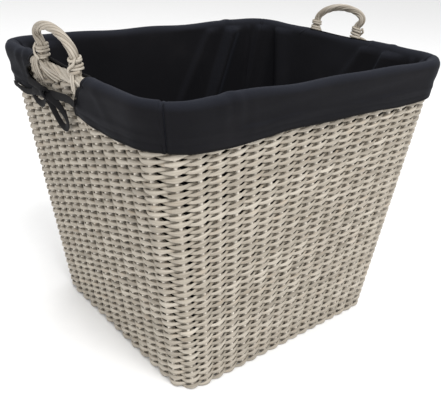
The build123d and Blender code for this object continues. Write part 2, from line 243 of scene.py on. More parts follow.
# ---- materials -----------------------------------------------------------------------------------
class Nodes:
    """Short calls for building a material's nodes."""

    def __init__(self, name):
        self.material = bpy.data.materials.new(name)
        self.material.use_nodes = True
        self.tree = self.material.node_tree
        self.shader = self.tree.nodes["Principled BSDF"]

    def put(self, source, target):
        if isinstance(source, bpy.types.NodeSocket):
            self.tree.links.new(source, target)
        else:
            target.default_value = source

    def attribute(self, name, output):
        node = self.tree.nodes.new("ShaderNodeAttribute")
        node.attribute_name = name
        return node.outputs[output]

    def place(self):
        """Where the point is in the object's own frame."""
        return self.tree.nodes.new("ShaderNodeTexCoord").outputs["Object"]

    def upward(self):
        """How much the surface faces up."""
        normal = self.tree.nodes.new("ShaderNodeNewGeometry").outputs["Normal"]
        split = self.tree.nodes.new("ShaderNodeSeparateXYZ")
        self.put(normal, split.inputs[0])
        return split.outputs["Z"]

    def scaled(self, vector, scale):
        node = self.tree.nodes.new("ShaderNodeVectorMath")
        node.operation = "MULTIPLY"
        self.put(vector, node.inputs[0])
        node.inputs[1].default_value = scale
        return node.outputs["Vector"]

    def noise(self, vector, scale, detail=3.0, roughness=0.55):
        node = self.tree.nodes.new("ShaderNodeTexNoise")
        self.put(vector, node.inputs["Vector"])
        node.inputs["Scale"].default_value = scale
        node.inputs["Detail"].default_value = detail
        node.inputs["Roughness"].default_value = roughness
        return node.outputs["Fac"]

    def waves(self, vector, axis, scale):
        node = self.tree.nodes.new("ShaderNodeTexWave")
        node.bands_direction = axis
        self.put(vector, node.inputs["Vector"])
        node.inputs["Scale"].default_value = scale
        return node.outputs["Fac"]

    def sum(self, first, second, factor=1.0):
        """first + second * factor."""
        node = self.tree.nodes.new("ShaderNodeMath")
        node.operation = "MULTIPLY_ADD"
        self.put(second, node.inputs[0])
        node.inputs[1].default_value = factor
        self.put(first, node.inputs[2])
        return node.outputs[0]

    def span(self, value, low, high, to_low, to_high):
        node = self.tree.nodes.new("ShaderNodeMapRange")
        self.put(value, node.inputs["Value"])
        node.inputs["From Min"].default_value = low
        node.inputs["From Max"].default_value = high
        node.inputs["To Min"].default_value = to_low
        node.inputs["To Max"].default_value = to_high
        return node.outputs[0]

    def ramp(self, value, *stops):
        """A colour ramp of (position, (red, green, blue)) stops."""
        node = self.tree.nodes.new("ShaderNodeValToRGB")
        points = node.color_ramp.elements
        while len(points) < len(stops):
            points.new(0.5)
        for point, (position, colour) in zip(points, stops):
            point.position = position
            point.color = (*colour, 1)
        self.put(value, node.inputs["Fac"])
        return node.outputs["Color"]

    def mix(self, factor, first, second):
        node = self.tree.nodes.new("ShaderNodeMix")
        node.data_type = "RGBA"
        self.put(factor, node.inputs["Factor"])
        for value, key in ((first, "A"), (second, "B")):
            socket = [s for s in node.inputs if s.name == key and s.type == "RGBA"][0]
            self.put(value if isinstance(value, bpy.types.NodeSocket) else (*value, 1), socket)
        return [s for s in node.outputs if s.type == "RGBA"][0]

    def bump(self, height, strength, distance, normal=None):
        node = self.tree.nodes.new("ShaderNodeBump")
        node.inputs["Strength"].default_value = strength
        node.inputs["Distance"].default_value = distance
        self.put(height, node.inputs["Height"])
        if normal is not None:
            self.put(normal, node.inputs["Normal"])
        return node.outputs["Normal"]

    def finish(self, colour, roughness, normal, **values):
        self.put(colour, self.shader.inputs["Base Color"])
        self.put(roughness, self.shader.inputs["Roughness"])
        self.put(normal, self.shader.inputs["Normal"])
        for key, value in values.items():
            self.put(value, self.shader.inputs[key.replace("_", " ")])
        return self.material


def cane_material(name, dark, middle, light, warmth=(0.42, 0.3, 0.19)):
    """Grey-washed cane: wash caught in a long grain, warm where it has rubbed thin."""
    nodes = Nodes(name)
    grain = nodes.attribute("grain", "Vector")
    tone = nodes.attribute("tone", "Fac")
    fibres = nodes.noise(nodes.scaled(grain, (14, 420, 420)), 1.0, 4.0, 0.6)
    streaks = nodes.noise(nodes.scaled(grain, (5, 90, 90)), 1.0, 3.0)
    blotches = nodes.noise(nodes.scaled(grain, (30, 60, 60)), 1.0, 2.0)
    shade = nodes.sum(nodes.sum(fibres, streaks, 0.9), tone)
    level = nodes.span(shade, 0.45, 1.45, 0.0, 1.0)
    wash = nodes.ramp(level, (0.0, dark), (0.5, middle), (1.0, light))
    worn = nodes.span(blotches, 0.55, 0.8, 0.0, 0.3)
    colour = nodes.mix(worn, wash, warmth)
    rough = nodes.span(fibres, 0.3, 0.7, 0.48, 0.72)
    normal = nodes.bump(fibres, 0.35, 0.0006, nodes.bump(streaks, 0.25, 0.001))
    return nodes.finish(colour, rough, normal)


def cloth_material():
    """Dark cotton canvas: a fine plain weave, lint and a soft sheen. Faces turned up are painted a
    lighter slate blue, a painted highlight of the light from above.
    """
    nodes = Nodes("liner_canvas")
    place = nodes.place()
    weave = nodes.sum(nodes.waves(place, "X", 900), nodes.waves(place, "Z", 900))
    weave = nodes.sum(weave, nodes.waves(place, "Y", 900))
    slubs = nodes.noise(nodes.scaled(place, (300, 300, 1300)), 1.0, 3.0)
    patches = nodes.noise(place, 9.0, 4.0)
    shade = nodes.sum(patches, slubs, 0.35)
    colour = nodes.ramp(
        nodes.span(shade, 0.45, 0.95, 0.0, 1.0),
        (0.0, (0.0024, 0.0022, 0.0025)),
        (0.6, (0.0037, 0.0034, 0.0038)),
        (1.0, (0.0075, 0.0068, 0.0072)),
    )
    # painted highlight: the more a face turns up, the more it takes a lighter slate blue, as if lit
    # from above
    painted_top_light = nodes.span(nodes.upward(), 0.1, 0.95, 0.0, 1.0)
    colour = nodes.mix(painted_top_light, colour, (0.0085, 0.0096, 0.0140))
    rough = nodes.span(slubs, 0.3, 0.7, 0.82, 0.95)
    normal = nodes.bump(weave, 0.12, 0.0004, nodes.bump(patches, 0.15, 0.003))
    return nodes.finish(
        colour,
        rough,
        normal,
        Specular_IOR_Level=0.2,
        Specular_Tint=(0.85, 0.87, 1.0, 1),
        Sheen_Weight=0.03,
        Sheen_Roughness=0.35,
        Sheen_Tint=(0.6, 0.7, 1.0, 1),
    )


def tape_material():
    """Bias tape: the same cloth cut narrow, with a fine rib in its grain."""
    nodes = Nodes("liner_tape")
    grain = nodes.attribute("grain", "Vector")
    ribs = nodes.noise(nodes.scaled(grain, (900, 120, 120)), 1.0, 2.0)
    colour = nodes.ramp(ribs, (0.3, (0.0016, 0.0014, 0.0018)), (0.7, (0.0038, 0.0034, 0.0042)))
    normal = nodes.bump(ribs, 0.4, 0.0004)
    sheen = {"Sheen_Weight": 0.004, "Sheen_Roughness": 0.4}
    return nodes.finish(colour, 0.8, normal, Specular_IOR_Level=0.16, **sheen)


def floor_material():
    nodes = Nodes("floor")
    speckle = nodes.noise(nodes.place(), 30.0)
    colour = nodes.ramp(speckle, (0.0, (0.9, 0.9, 0.9)), (1.0, (0.93, 0.93, 0.93)))
    return nodes.finish(colour, 0.9, nodes.bump(speckle, 0.02, 0.001))


weave_cane = cane_material(
    "weave_cane", (0.16, 0.137, 0.105), (0.34, 0.302, 0.247), (0.56, 0.515, 0.44)
)
# The stakes' cane is painted far lighter than the weave's: a painted highlight against the shade the
# stakes sit in between the rows.
stake_cane_painted_light = cane_material(
    "stake_cane_painted_light", (0.44, 0.4, 0.34), (0.62, 0.57, 0.5), (0.78, 0.73, 0.65)
)
border_cane = cane_material(
    "border_cane", (0.22, 0.19, 0.15), (0.4, 0.36, 0.3), (0.6, 0.555, 0.48)
)
base_cane = cane_material(
    "base_cane", (0.12, 0.095, 0.07), (0.33, 0.28, 0.21), (0.55, 0.49, 0.4)
)
handle_cane = cane_material(
    "handle_cane", (0.14, 0.115, 0.085), (0.35, 0.31, 0.255), (0.6, 0.55, 0.475)
)
canvas = cloth_material()
tape = tape_material()

# ---- wall: twined rows round the stakes ----------------------------------------------------------
ROW_COUNT = 39
ROW_PITCH_FOOT = 0.0130
ROW_PITCH_TOP = 0.0105
STRAND_HALF_THICK = 0.0015
STRAND_TALL_SHARE = 0.375  # half height of a strand on a stake, in row pitches
STRAND_FLAT_SHARE = 0.235  # the same where two strands cross
STRAND_SLANT_SHARE = 0.245  # how far a strand rises or falls from a stake to a crossing
STRAND_SHARPNESS = 0.97  # 1 would be straight from crossing to crossing, 0 a sine
STRAND_OUT = 0.0047  # middle of the wall to the middle of a strand on a stake
STAKE_HALF_DEPTH = 0.0043  # the strands bed into the stakes
STAKE_HALF_WIDTH = 0.0027
STEPS_PER_STAKE = 8
BAND_COUNT = 4

row_pitches = np.linspace(ROW_PITCH_FOOT, ROW_PITCH_TOP, ROW_COUNT)
row_pitches *= weave_top / row_pitches.sum()
row_middles = np.cumsum(row_pitches) - row_pitches / 2


def weave_row(rods, row, dice):
    """The two strands of one twined row. They change sides at every stake and cross between."""
    pitch, middle = row_pitches[row], row_middles[row]
    u = np.linspace(0, STAKE_COUNT, STAKE_COUNT * STEPS_PER_STAKE + 1)
    level = wander(u, (12, 20, 30), 0.0005, row)
    for strand in (0, 1):
        turn = np.pi * (u - STAKE_OFFSET + strand)
        out = STRAND_OUT * np.cos(turn)
        slant = np.arcsin(STRAND_SHARPNESS * np.sin(turn)) / np.arcsin(STRAND_SHARPNESS)
        wobble = wander(u, (2.7, 5), 0.00022, 100 + 2 * row + strand)
        bulge = np.cos(turn) ** 4
        tall = pitch * (STRAND_FLAT_SHARE + (STRAND_TALL_SHARE - STRAND_FLAT_SHARE) * bulge)
        z = np.maximum(middle + level + STRAND_SLANT_SHARE * pitch * slant + wobble, tall)
        thick = STRAND_HALF_THICK * (1 + wander(u, (8, 19), 0.05, 300 + 2 * row + strand))
        tone = patchy_tone(len(u), 9 * STEPS_PER_STAKE, 0.07, dice) + dice.normal(0, 0.03)
        rods.add(wall_point(u, z, out), (0, 0, 1), tall, thick, tone, closed=True)


def build_wall():
    dice = np.random.default_rng(3)
    bands = np.array_split(np.arange(ROW_COUNT), BAND_COUNT)
    for number, rows in enumerate(bands, start=1):
        rods = Rods(sides=8)
        for row in rows:
            weave_row(rods, row, dice)
        replaced = ("wall_weave",) if number == 1 else ()
        rods.build(f"wall_weave_band_{number}", "basket", weave_cane, "weave", *replaced)


def build_stakes():
    low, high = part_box("side_stakes")
    rods = Rods(sides=8)
    z = np.linspace(low.z, high.z, 24)
    for stake in range(STAKE_COUNT):
        lean = wander(z, (0.2, 0.31), 0.015, 500 + stake)
        path = wall_point(stake + STAKE_OFFSET + lean, z)
        outward = wall_normal(stake + STAKE_OFFSET, z)
        rods.add(path, outward, STAKE_HALF_DEPTH, STAKE_HALF_WIDTH, chance.normal(0, 0.08))
    rods.build("side_stake_rods", "basket", stake_cane_painted_light, "stakes", "side_stakes")


# ---- rolled rim border ---------------------------------------------------------------------------
BORDER_STRANDS = 8
BORDER_TURNS = 12
BORDER_STRAND_RADIUS = 0.0026
BORDER_STEPS_PER_TURN = 30
BORDER_CORE_SHARE = 0.75  # core to the ring of strands


def build_border():
    """Stake ends rolled over one another along the rim: a rope that slants down to the right."""
    rods = Rods(sides=8)
    ring = border_radius - BORDER_STRAND_RADIUS
    u = np.linspace(0, STAKE_COUNT, BORDER_TURNS * BORDER_STEPS_PER_TURN + 1)
    for strand in range(BORDER_STRANDS):
        turn = 2 * np.pi * (BORDER_TURNS * u / STAKE_COUNT + strand / BORDER_STRANDS)
        radius = ring + 0.0004 * np.sin(5 * turn + strand)
        path = wall_point(u, border_z - radius * np.sin(turn), radius * np.cos(turn))
        spoke = path - wall_point(u, border_z, 0.0)
        tone = patchy_tone(len(u), 40, 0.1, chance)
        wide = BORDER_STRAND_RADIUS * 1.05
        rods.add(path, spoke, BORDER_STRAND_RADIUS, wide, tone, closed=True)
    core = wall_point(u, border_z, 0.0)
    core_radius = ring * BORDER_CORE_SHARE
    # The core's tone is set darker than the strands': painted shade where it shows between them.
    rods.add(core, (0, 0, 1), core_radius, core_radius, -0.3, closed=True)
    rods.build("rim_border_rope", "basket", border_cane, "border", "rim_border")


# ---- woven base ----------------------------------------------------------------------------------
BASE_STICKS = 9
BASE_STRAND_RADIUS = 0.0021
BASE_STRAND_SPACING = 2.15  # in strand radii
BASE_STRAND_LIFT = 0.55  # how far a strand swings over and under, in stick radii
BASE_EDGE_GAP = 0.003


def base_pole(middle_z):
    """The thick rod round the edge of the base."""
    low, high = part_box("base_frame")
    radius = (high.z - low.z) / 2
    u = np.linspace(0, STAKE_COUNT, STAKE_COUNT * 4 + 1)
    out = high.x - radius - wall_point(side_u(1, 0, middle_z), middle_z)[0]
    rods = Rods(sides=12)
    rods.add(wall_point(u, middle_z, out), (0, 0, 1), radius, radius, closed=True)
    rods.build("base_pole", "basket", base_cane, "base_rods", "base_frame")


def base_sticks(middle_z, stick_xs, radius):
    """The sticks from front to back that carry the base's weave."""
    low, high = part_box("base_sticks")
    rods = Rods(sides=8)
    y = np.linspace(low.y, high.y, 30)
    for number, x in enumerate(stick_xs):
        bend = wander(y, (0.21, 0.37), 0.0004, 600 + number)
        path = np.stack([x + bend, y, np.full_like(y, middle_z)], axis=1)
        rods.add(path, (0, 0, 1), radius, radius, chance.normal(0, 0.1))
    rods.build("base_stick_rods", "basket", base_cane, "base_rods", "base_sticks")


def base_field(middle_z, stick_xs, stick_radius):
    """The strands over and under the sticks."""
    low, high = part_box("base_weave")
    count = int((high.y - low.y) / (BASE_STRAND_SPACING * BASE_STRAND_RADIUS))
    spacing = stick_xs[1] - stick_xs[0]
    corner = foot_outline[2]
    rods = Rods(sides=6)
    for row in range(count):
        y = low.y + (row + 0.5) * (high.y - low.y) / count
        past_corner = max(0.0, abs(y) - (high.y - corner))
        reach = high.x - corner + (corner**2 - past_corner**2) ** 0.5 - BASE_EDGE_GAP
        x = np.linspace(-reach, reach, 90)
        lift = stick_radius * BASE_STRAND_LIFT * np.cos(np.pi * (x / spacing + row))
        path = np.stack([x, np.full_like(x, y), middle_z + lift], axis=1)
        tone = patchy_tone(len(x), 30, 0.1, chance)
        rods.add(path, (0, 0, 1), BASE_STRAND_RADIUS * 0.8, BASE_STRAND_RADIUS, tone)
    rods.build("base_field", "basket", base_cane, "weave", "base_weave")


def build_base():
    pole_low, pole_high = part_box("base_frame")
    stick_low, stick_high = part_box("base_sticks")
    middle_z = (pole_low.z + pole_high.z) / 2
    stick_radius = (stick_high.z - stick_low.z) / 2
    stick_span = stick_high.x - stick_radius
    stick_xs = np.linspace(-stick_span, stick_span, BASE_STICKS)
    base_pole(middle_z)
    base_sticks(middle_z, stick_xs, stick_radius)
    base_field(middle_z, stick_xs, stick_radius)


# ---- handles -------------------------------------------------------------------------------------
ROPE_STRANDS = 9
ROPE_TURNS = 1.6
ROPE_STEPS = 120
ROPE_STRAND_RADIUS = 0.0018
ROPE_CORE_RADIUS = 0.0032
ROPE_TIGHTNESS = 0.92  # the rope's radius, as a share of the CAD strands' outside
BOW_RADIUS = 0.0037
LEG_FOOT = 0.006  # border's middle to the lower end of a leg
LEG_TOP = 0.032  # a leg is straight up to here
BELLY_OUT = 0.008  # how far the left leg bellies out
BELLY_UP = 0.046
CROWN_ACROSS = -0.012  # the arch's top, from the middle of the handle
BINDING_TURNS = 4
BINDING_STEPS = 24
BINDING_PROUD = 0.0010  # how far the binding's middle stands off the rope


def bezier(start, first, second, end, steps):
    t = np.linspace(0, 1, steps)[:, None]
    near = (1 - t) ** 3 * start + 3 * (1 - t) ** 2 * t * first
    return near + 3 * (1 - t) * t**2 * second + t**3 * end


class HandlePlane:
    """A handle's own coordinates, seen from outside: across to the right, up along the wall, and
    proud of the wall."""

    def __init__(self, name, side):
        foot_a = sum(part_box(f"{name}_handle_binding_a"), Vector()) / 2
        foot_b = sum(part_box(f"{name}_handle_binding_b"), Vector()) / 2
        bow_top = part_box(f"{name}_handle_bow")[1].z
        strand_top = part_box(f"{name}_handle_strands")[1].z
        lean = np.arctan2(top_outline[0] - foot_outline[0], weave_top)
        self.right = np.array([0, side, 0.0])
        self.up = np.array([side * np.sin(lean), 0, np.cos(lean)])
        self.proud = np.array([side * np.cos(lean), 0, -np.sin(lean)])
        middle = (np.array(foot_a) + np.array(foot_b)) / 2
        self.binding_height = (middle[2] - border_z) / self.up[2]
        self.origin = middle - self.up * (middle[2] - border_z) / self.up[2]
        self.half_span = abs(foot_b.y - foot_a.y) / 2
        self.rope_radius = (strand_top - bow_top) / self.up[2] + BOW_RADIUS
        self.top = (bow_top - border_z) / self.up[2] - BOW_RADIUS

    def at(self, points):
        """Places (across, up, proud) in the basket's frame."""
        points = np.asarray(points, float)
        across = points[..., :1] * self.right
        return self.origin + across + points[..., 1:2] * self.up + points[..., 2:3] * self.proud


def arch_line(plane):
    """The middle of the rope. The left leg bellies out and the right one slopes to the top."""
    left, right, top = -plane.half_span, plane.half_span, plane.top
    belly = (left - BELLY_OUT, BELLY_UP)
    crown = (CROWN_ACROSS, top)
    bends = (
        (12, (left, LEG_TOP), (left, 0.039), (belly[0], 0.039), belly),
        (24, belly, (belly[0], top - 0.008), (crown[0] - 0.026, top), crown),
        (36, crown, (crown[0] + 0.034, top), (right, top - 0.016), (right, LEG_TOP)),
    )
    leg = np.linspace(LEG_FOOT, LEG_TOP, 10)[:, None]
    parts = [np.hstack([np.full_like(leg, left), leg])]
    parts += [bezier(*np.array(places), steps)[1:] for steps, *places in bends]
    parts.append(np.hstack([np.full_like(leg, right), leg[::-1]])[1:])
    return np.concatenate(parts)


def resampled(path, steps):
    """The same line with evenly spaced points."""
    travel = np.concatenate([[0], np.cumsum(np.linalg.norm(np.diff(path, axis=0), axis=1))])
    places = np.linspace(0, travel[-1], steps)
    return np.stack([np.interp(places, travel, column) for column in path.T], axis=1)


def softened(path, passes):
    """The same line with its kinks eased."""
    path = path.copy()
    for _ in range(passes):
        path[1:-1] = (path[:-2] + path[1:-1] + path[2:]) / 3
    return path


def build_rope(plane, name):
    """Strands twisted round a core along the arch."""
    flat = resampled(arch_line(plane), ROPE_STEPS)
    middle = plane.at(np.hstack([flat, np.zeros((len(flat), 1))]))
    share = np.linspace(0, 1, len(flat))
    tangent = unit(np.gradient(flat, axis=0))
    across = np.stack([-tangent[:, 1], tangent[:, 0]], axis=1)
    ring = plane.rope_radius * ROPE_TIGHTNESS - ROPE_STRAND_RADIUS
    rods = Rods(sides=8)
    # The core's tone is set darker than the strands': painted shade where it shows between them.
    rods.add(middle, plane.proud, ROPE_CORE_RADIUS, ROPE_CORE_RADIUS, -0.5)
    for strand in range(ROPE_STRANDS):
        start = strand / ROPE_STRANDS + wander(share, (0.4, 0.7), 0.012, 700 + strand)
        turn = 2 * np.pi * (start - ROPE_TURNS * share)
        reach = ring * (1 + wander(share, (0.3, 0.5), 0.05, 720 + strand))
        # the rope is drawn in at its feet
        reach *= 1 - 0.12 * smooth_step(abs(share - 0.5), 0.36, 0.5)
        place = flat + across * (reach * np.cos(turn))[:, None]
        path = plane.at(np.hstack([place, (reach * np.sin(turn))[:, None]]))
        radius = ROPE_STRAND_RADIUS * (1 + wander(share, (0.35, 0.6), 0.07, 740 + strand))
        tone = patchy_tone(len(flat), 45, 0.1, chance) + chance.normal(0, 0.08)
        rods.add(path, path - middle, radius, radius * 1.1, tone)
    replaced = (f"{name}_handle_strands", f"{name}_handle_bow")
    rods.build(f"{name}_handle_rope", "basket", handle_cane, "handle", *replaced)


def build_binding(plane, name, side, leg, mark):
    """Cane bound round one foot of the rope, with its end tucked across the turns."""
    node = f"{name}_handle_binding_{mark}"
    low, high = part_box(node)
    foot = leg * plane.half_span
    coil_half = (high.z - low.z) / 2 / plane.up[2] - 0.002
    turn = np.linspace(0, BINDING_TURNS, BINDING_TURNS * BINDING_STEPS + 1)
    ends = (0, 0.5, BINDING_TURNS - 0.5, BINDING_TURNS)
    climb = np.interp(turn, ends, (-0.92, -0.9, 0.9, 0.98))
    tilt = wander(turn, (1.0, 1.9), 0.0011, 760 + leg + 5 * side)
    slack = wander(turn, (0.6, 1.3), 0.00035, 770 + leg + 5 * side)
    radius = plane.rope_radius + BINDING_PROUD + slack
    path = np.stack(
        [
            foot + radius * np.cos(2 * np.pi * turn),
            plane.binding_height + coil_half * climb + tilt,
            radius * np.sin(2 * np.pi * turn),
        ],
        axis=1,
    )
    rods = Rods(sides=8)
    tone = patchy_tone(len(turn), 30, 0.08, chance)
    rods.add(plane.at(path), plane.up, 0.0023, 0.0017, tone)
    tuck = np.array(
        [
            (0.0095, 0.011, 0.004),
            (0.0105, 0.004, 0.0085),
            (0.002, -0.002, 0.0125),
            (-0.006, -0.009, 0.0105),
        ]
    )
    tuck = resampled(tuck * (leg, 1, 1) + (foot, plane.binding_height, 0), 16)
    rods.add(plane.at(tuck), plane.proud, 0.0016, 0.0022, 0.1)
    rods.build(f"{name}_handle_wrap_{mark}", "basket", handle_cane, "handle", node)


# how far round each strand starts, how far it sweeps out and how far down it ends
LOOPED_STRANDS = (
    (-0.027, -0.034, -0.030),
    (-0.021, -0.027, -0.036),
    (-0.014, -0.017, -0.038),
    (-0.007, -0.008, -0.034),
)
# how far along the border each strand ends, and how high
LAID_STRANDS = ((0.060, -0.002), (0.054, -0.007), (0.044, -0.012), (0.030, -0.017))
# how far beside the leg each strand starts, and how far down it ends
TUCKED_STRANDS = ((-0.0035, -0.045), (0.0015, -0.075))


def add_foot_rod(rods, plane, places, radii, tone):
    path = plane.at(bezier(*np.array(places), 24))
    rods.add(path, plane.proud, *radii, tone)


def build_foot_rods(plane, name):
    """The rope's strands spread at its feet: over the border and down into the weave."""
    rods = Rods(sides=8)
    left, right = -plane.half_span, plane.half_span
    for spread, sweep, drop in LOOPED_STRANDS:
        places = (
            (left - 0.001, 0.014, 0.005),
            (left + spread, 0.015, 0.0125),
            (left + sweep, 0.002, 0.0145),
            (left + sweep * 0.8, drop, 0.002),
        )
        add_foot_rod(rods, plane, places, (0.0018, 0.0020), chance.normal(0, 0.1))
    for number, (reach, drop) in enumerate(LAID_STRANDS):
        places = (
            (left - 0.002, 0.010 - 0.003 * number, 0.007),
            (left + 0.015, 0.010 - 0.004 * number, 0.0125),
            (left + reach * 0.7, drop + 0.005, 0.0120),
            (left + reach, drop, 0.0055),
        )
        add_foot_rod(rods, plane, places, (0.0019, 0.0021), chance.normal(0, 0.1))
    for shift, drop in TUCKED_STRANDS:
        places = (
            (right + shift, 0.014, 0.006),
            (right + shift, 0.006, 0.0125),
            (right + shift - 0.001, drop * 0.5, 0.0100),
            (right + shift - 0.002, drop, 0.000),
        )
        add_foot_rod(rods, plane, places, (0.0018, 0.0019), chance.normal(0.1, 0.08))
    rods.build(f"{name}_handle_feet", "basket", handle_cane, "handle")


def build_handle(name, side):
    plane = HandlePlane(name, side)
    build_rope(plane, name)
    build_binding(plane, name, side, -1, "a")
    build_binding(plane, name, side, 1, "b")
    build_foot_rods(plane, name)


# ---- liner ---------------------------------------------------------------------------------------
CLOTH_THICKNESS = 0.0018
SACK_ROWS, ROLL_ROWS, CUFF_ROWS = 56, 15, 26
NOTCH_ROWS = 4  # rows of the roll left over the border in a cut-out
COLUMNS_PER_STAKE = 7
FINE_REACH = 0.24  # how far the finer columns reach from a seam or a cut edge
FINE_COLUMNS = 13
CUT_SPREAD = 3.5  # how far beside a cut-out the columns follow its edges
SACK_OUT = -0.012
SACK_FOOT = 0.004  # sack's floor to the lowest row of its sides
ROLL_RISE = 0.0115  # border's middle to the cloth over it
ROLL_GAP = 0.0026  # border to the cloth outside it
ROLL_DROP = 0.001  # the roll ends this far under the border's middle
CUFF_SNUG = 0.0095  # stakes to the cuff just under the border
HEM_OUT = 0.0105
CORNERS = tuple(start for start, *_ in WALL_SIDES)
SEAM_SHIFT = 0.14  # corner to its seam, in gaps between stakes
SEAM_WELT = 0.0012
SEAM_GROOVE = 0.0022
HEM_GROOVE = 0.0007
TIE_PINCH = 0.0035  # how far the ties draw the hem in

sack_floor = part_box("liner_base_panel")[0].z
cut_low, cut_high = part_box("left_cutout_piping")
hem_z = cut_low.z


def cut_edge(edge, depth):
    """Y of a cut edge, from the top of the border (depth 0) to the hem (depth 1)."""
    if edge == "front":
        return np.interp(depth, (0, 0.12, 0.3, 0.7, 1), (-0.070, -0.054, -0.045, -0.033, -0.024))
    return np.interp(depth, (0, 0.12, 0.35, 0.7, 1), (0.086, 0.106, 0.114, 0.102, 0.080))


def cloth_columns():
    """The stake coordinates of the cloth's columns, and those of the cut edges by side."""
    cuts = {}
    for side in (-1, 1):
        cuts[side] = sorted(round(side_u(side, y, border_z), 6) for y in (cut_low.y, cut_high.y))
    knots = sorted([*CORNERS, *cuts[1], *cuts[-1], STAKE_COUNT])
    spans = [
        np.linspace(a, b, int(np.ceil((b - a) * COLUMNS_PER_STAKE)), endpoint=False)
        for a, b in zip(knots, knots[1:])
    ]
    seams = [corner + SEAM_SHIFT for corner in CORNERS]
    edges = [edge for pair in cuts.values() for edge in pair]
    steps = np.linspace(-FINE_REACH, FINE_REACH, FINE_COLUMNS)
    fine = [place + step for place in seams + edges for step in steps]
    return np.unique(np.round(np.concatenate([*spans, fine]) % STAKE_COUNT, 6)), cuts


def cloth_profile():
    """The cloth's section away from the folds: rows of (height, out, depth down the cuff, part).
    Part is 0 in the sack, 1 over the border and 2 in the cuff."""
    rows = []
    roll_end = border_z - ROLL_DROP
    for z in np.linspace(sack_floor + SACK_FOOT, roll_end, SACK_ROWS):
        rows.append((z, SACK_OUT, 0.0, 0))
    outer = border_radius + ROLL_GAP
    for angle in np.linspace(np.pi, 0, ROLL_ROWS)[1:-1]:
        reach = -SACK_OUT if angle > np.pi / 2 else outer
        rows.append((border_z + ROLL_RISE * np.sin(angle), reach * np.cos(angle), 0.0, 1))
    for depth in np.linspace(0, 1, CUFF_ROWS):
        snug = (CUFF_SNUG - outer) * smooth_step(depth, 0.05, 0.42)
        flare = (HEM_OUT - CUFF_SNUG) * smooth_step(depth, 0.45, 0.8)
        rows.append((roll_end + (hem_z - roll_end) * depth, outer + snug + flare, depth, 2))
    return np.array(rows)


def past(u, place):
    """How far u is past a place on the wall, the short way round."""
    return (u - place + STAKE_COUNT / 2) % STAKE_COUNT - STAKE_COUNT / 2


# at each corner of the sack: gaps past the corner, gaps it slants per metre down, width, depth
CORNER_FOLDS = (
    (2.95, 9.0, 0.70, 0.0200),
    (1.40, -2.0, 0.14, 0.0050),
    (0.30, 3.0, 0.80, 0.0080),
    (-1.50, -7.0, 0.70, 0.0090),
    (4.60, 16.0, 0.60, 0.0060),
)


def corner_folds(spread, drop):
    """How far folds bring the sack in from the wall: each has one steep side and one easy side."""
    dice = np.random.default_rng(41)
    total = np.zeros_like(spread)
    for corner in CORNERS:
        for shift, slant, width, depth in CORNER_FOLDS:
            strength = dice.uniform(0.7, 1.0)
            away = past(spread, corner + shift + slant * drop)
            profile = bump_at(away, 0, np.where(away > 0, 0.3, 1.0) * width)
            total += strength * depth * profile * (1 - smooth_step(drop, 0.1, 0.34))
    return total


def spread_columns(u, cuts, profile, over):
    """The columns' stake coordinates row by row: beside a cut-out they follow its edges."""
    spread = np.repeat(u[None], len(profile), axis=0)
    for side, (first, last) in cuts.items():
        lower, upper = ("front", "rear") if side > 0 else ("rear", "front")
        start, end = first - CUT_SPREAD, last + CUT_SPREAD
        near = (u > start) & (u < end)
        for row in np.flatnonzero(profile[:, 3] >= 1):
            depth, weight = profile[row, 2], over[row, 0]
            to_first = side_u(side, cut_edge(lower, depth), border_z) - first
            to_last = side_u(side, cut_edge(upper, depth), border_z) - last
            moved = (start, first + weight * to_first, last + weight * to_last, end)
            spread[row, near] = np.interp(u[near], (start, first, last, end), moved)
    return spread


def cuff_folds(spread, z, depth, part):
    """The roll and the cuff: long soft waves, short creases near the hem, a seam at each corner."""
    outer = part >= 1
    cuff = smooth_step(depth, 0.0, 0.3) * (part == 2)
    seam_gap = np.min([abs(past(spread, corner + SEAM_SHIFT)) for corner in CORNERS], axis=0)
    seam = SEAM_WELT * bump_at(seam_gap, 0.09, 0.05) - SEAM_GROOVE * bump_at(seam_gap, 0, 0.035)
    creases = wander(spread - 3 * depth, (2.1, 3.4), 0.0006, 22)
    fold = cuff * wander(spread + 9 * depth, (6.5, 9.3, 14), 0.0008, 21)
    fold = fold + cuff * smooth_step(depth, 0.3, 1) * creases
    fold += outer * wander(spread + 2 * z / 0.05, (5.1, 11), 0.0005, 23)
    fold += cuff * 0.0009 * bump_at(depth + 0.03 * np.sin(spread), 0.62, 0.08)
    fold += outer * seam
    return fold - HEM_GROOVE * bump_at(depth, 0.8, 0.025) * (part == 2)


def sack_folds(spread, z, part):
    """The sack: broad hollows, and folds fanning down from each corner."""
    sack = (part == 0) * smooth_step(border_z - z, 0.0, 0.05)
    hollows = wander(spread * 0.7 + 20 * z, (3.1, 5.9), 0.0012, 25)
    fold = sack * wander(spread + 6 * z, (4.3, 7.7, 12), 0.0016, 24)
    fold = fold - (part == 0) * corner_folds(spread, border_z - z)
    return fold + sack * bump_at(z, 0.16, 0.1) * hollows


def rim_gathers(spread, z, depth, part):
    """How far the gathers at the corners lift the cloth over the border, and push it out."""
    rolled = np.clip((z - border_z) / ROLL_RISE, 0, 1) * (part == 1)
    lift = wander(spread, (4.3, 7.9, 15), 0.0012, 26) * rolled
    push = np.zeros_like(spread)
    for corner in CORNERS:
        gathered = past(spread, corner + CORNER_FOLDS[0][0])
        lift += rolled * (0.0030 * bump_at(gathered, 0, 2.2) + 0.0016 * bump_at(gathered, 0, 0.25))
        ripples = np.sin(8 * gathered) * bump_at(gathered, 0, 0.8)
        push += (part >= 1) * (1 - depth) * 0.0012 * ripples
    return lift, push


